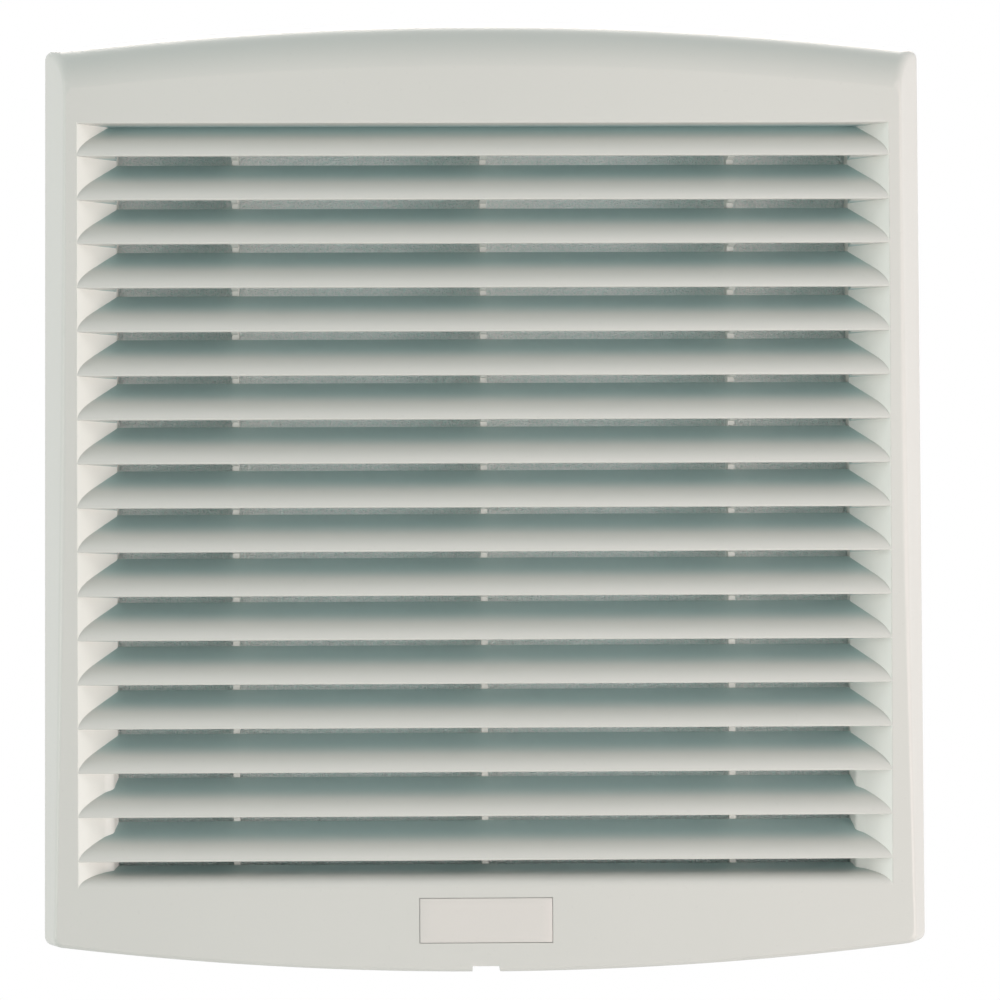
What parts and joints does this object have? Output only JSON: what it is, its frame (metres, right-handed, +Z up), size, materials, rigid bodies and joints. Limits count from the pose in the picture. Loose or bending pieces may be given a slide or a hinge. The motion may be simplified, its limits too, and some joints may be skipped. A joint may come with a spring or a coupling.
{
  "type": "cabinet filter fan",
  "caption": "Louvred cabinet filter fan that snaps into a square cut-out, with a swing-up cover, filter mat, axial fan and wire guard.",
  "frame": {"origin": "centre of the square cut-out, in the plane of the cabinet panel's outer face, where the gasket seats", "axes": "+Z up, +X to the right seen from the front, the louvres face -Y and the fan blows along +Y into the cabinet"},
  "size_m": [0.248, 0.1125, 0.268],
  "materials": {
    "cover_plastic": "fine spark-eroded grain, light warm grey",
    "frame_plastic": "moulded, light grey",
    "gasket_foam": "closed-cell foam",
    "filter_fleece": "matted synthetic fleece",
    "black_nylon": "moulded nylon",
    "fan_casting": "black painted die-casting",
    "rotor_steel": "black painted sheet steel",
    "core_iron": "laminated core sheet",
    "copper_wire": "enamelled copper wire",
    "zinc_steel": "zinc plated steel",
    "guard_wire": "bright nickel plated wire"
  },
  "bodies": {
    "frame": {"base_frame": "frame_plastic", "panel_gasket": "gasket_foam", "filter_mat": "filter_fleece", "mat_support_grid": "frame_plastic", "fan_housing": "fan_casting", "stator_core": "core_iron", "stator_winding": "copper_wire", "bearing_front": "zinc_steel", "bearing_rear": "zinc_steel", "rear_guard": "guard_wire", "fan_screw_1": "zinc_steel", "fan_screw_2": "zinc_steel", "fan_screw_3": "zinc_steel", "fan_screw_4": "zinc_steel", "guard_screw_1": "zinc_steel", "guard_screw_2": "zinc_steel", "guard_screw_3": "zinc_steel", "guard_screw_4": "zinc_steel", "terminal_block": "black_nylon", "terminal_screw_1": "zinc_steel", "terminal_screw_2": "zinc_steel", "terminal_screw_3": "zinc_steel"},
    "cover": {"front_cover": "cover_plastic", "blank_plate": "cover_plastic"},
    "rotor": {"impeller": "rotor_steel", "rotor_cup": "rotor_steel", "rotor_ring": "core_iron", "motor_shaft": "zinc_steel", "shaft_circlip": "zinc_steel"},
    "left_upper_pawl": {"pawl_left_upper": "black_nylon"},
    "left_lower_pawl": {"pawl_left_lower": "black_nylon"},
    "right_upper_pawl": {"pawl_right_upper": "black_nylon"},
    "right_lower_pawl": {"pawl_right_lower": "black_nylon"}
  },
  "joints": [
    {"name": "cover_swing", "type": "hinge", "parent": "frame", "child": "cover", "pos_m": [0, -0.0048, 0.134], "axis": [-1, 0, 0], "range_deg": [0, 60]},
    {"name": "rotor_spin", "type": "hinge", "parent": "frame", "child": "rotor", "pos_m": [0, 0.0567, 0], "axis": [0, 1, 0], "continuous": true},
    {"name": "left_upper_pawl_swing", "type": "hinge", "parent": "frame", "child": "left_upper_pawl", "pos_m": [-0.1079, 0.0243, 0.07], "axis": [0, 0, 1], "range_deg": [0, 8], "stiffness_Nm_per_rad": 0.2},
    {"name": "left_lower_pawl_swing", "type": "hinge", "parent": "frame", "child": "left_lower_pawl", "pos_m": [-0.1079, 0.0243, -0.07], "axis": [0, 0, 1], "range_deg": [0, 8], "stiffness_Nm_per_rad": 0.2},
    {"name": "right_upper_pawl_swing", "type": "hinge", "parent": "frame", "child": "right_upper_pawl", "pos_m": [0.1079, 0.0243, 0.07], "axis": [0, 0, -1], "range_deg": [0, 8], "stiffness_Nm_per_rad": 0.2},
    {"name": "right_lower_pawl_swing", "type": "hinge", "parent": "frame", "child": "right_lower_pawl", "pos_m": [0.1079, 0.0243, -0.07], "axis": [0, 0, -1], "range_deg": [0, 8], "stiffness_Nm_per_rad": 0.2}
  ]
}
